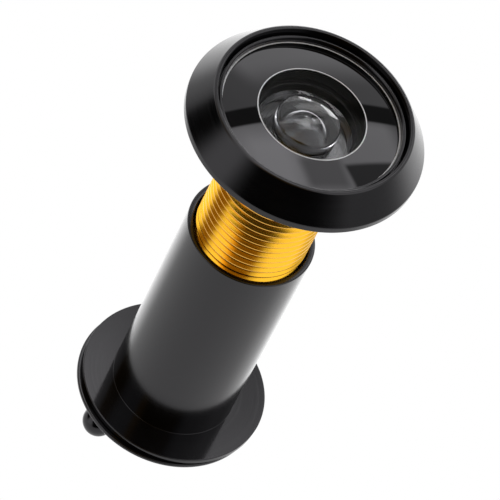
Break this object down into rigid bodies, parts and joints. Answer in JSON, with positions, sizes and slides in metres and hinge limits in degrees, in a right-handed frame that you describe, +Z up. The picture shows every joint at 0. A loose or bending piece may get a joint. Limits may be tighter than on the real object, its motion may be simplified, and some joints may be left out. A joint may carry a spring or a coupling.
{
  "type": "door viewer",
  "caption": "Door viewer: flat objective in a conical black bezel, gold threaded tube, screw-on rear sleeve with a flange and a swinging privacy cover with a ball knob.",
  "frame": {"origin": "on the barrel's axis, in the plane of the bezel's back face, which rests on the outside of the door", "axes": "+Y runs along the barrel from the outside of the door into the room, so the lens looks along -Y; +Z is up, towards the cover's pivot; the part is upright as fitted in a door"},
  "size_m": [0.029, 0.0626, 0.029],
  "materials": {
    "black_metal": "black satin over brass",
    "black_gloss_metal": "black gloss over brass",
    "gold_thread": "bright gold, fine turned thread",
    "lens_glass": "polished optical glass",
    "black_rubber": "matt",
    "blackened_metal": "matt blackened",
    "spring_steel": "bright spring steel"
  },
  "bodies": {
    "barrel": {"front_bezel": "black_metal", "lens_retaining_ring": "black_metal", "front_lens": "lens_glass", "lens_gasket": "black_rubber", "threaded_tube": "gold_thread", "second_lens": "lens_glass", "front_spacer": "blackened_metal", "third_lens": "lens_glass", "light_baffle": "blackened_metal", "field_lens": "lens_glass", "lens_lock_ring": "blackened_metal"},
    "seal": {"sleeve_seal_ring": "black_rubber"},
    "sleeve": {"rear_sleeve": "black_metal", "eyepiece_gasket": "black_rubber", "eyepiece_lens": "lens_glass", "eyepiece_ring": "black_metal", "cover_pivot_pin": "black_gloss_metal", "cover_spring_washer": "spring_steel"},
    "cover": {"privacy_cover": "black_gloss_metal", "cover_knob": "black_gloss_metal"}
  },
  "joints": [
    {"name": "sleeve_travel", "type": "slide", "parent": "barrel", "child": "seal", "axis": [0, -1, 0], "range_m": [-0.008, 0.011]},
    {"name": "sleeve_turn", "type": "hinge", "parent": "seal", "child": "sleeve", "pos_m": [0, 0.036, 0], "axis": [0, -1, 0], "range_deg": [-2880, 3960]},
    {"name": "cover_swing", "type": "hinge", "parent": "sleeve", "child": "cover", "pos_m": [0, 0.05313, 0.0093], "axis": [0, 1, 0], "range_deg": [-180, 180]}
  ],
  "couplings": [
    {"joint": "sleeve_travel", "follows": "sleeve_turn", "m_per_rad": 0.00015915}
  ]
}
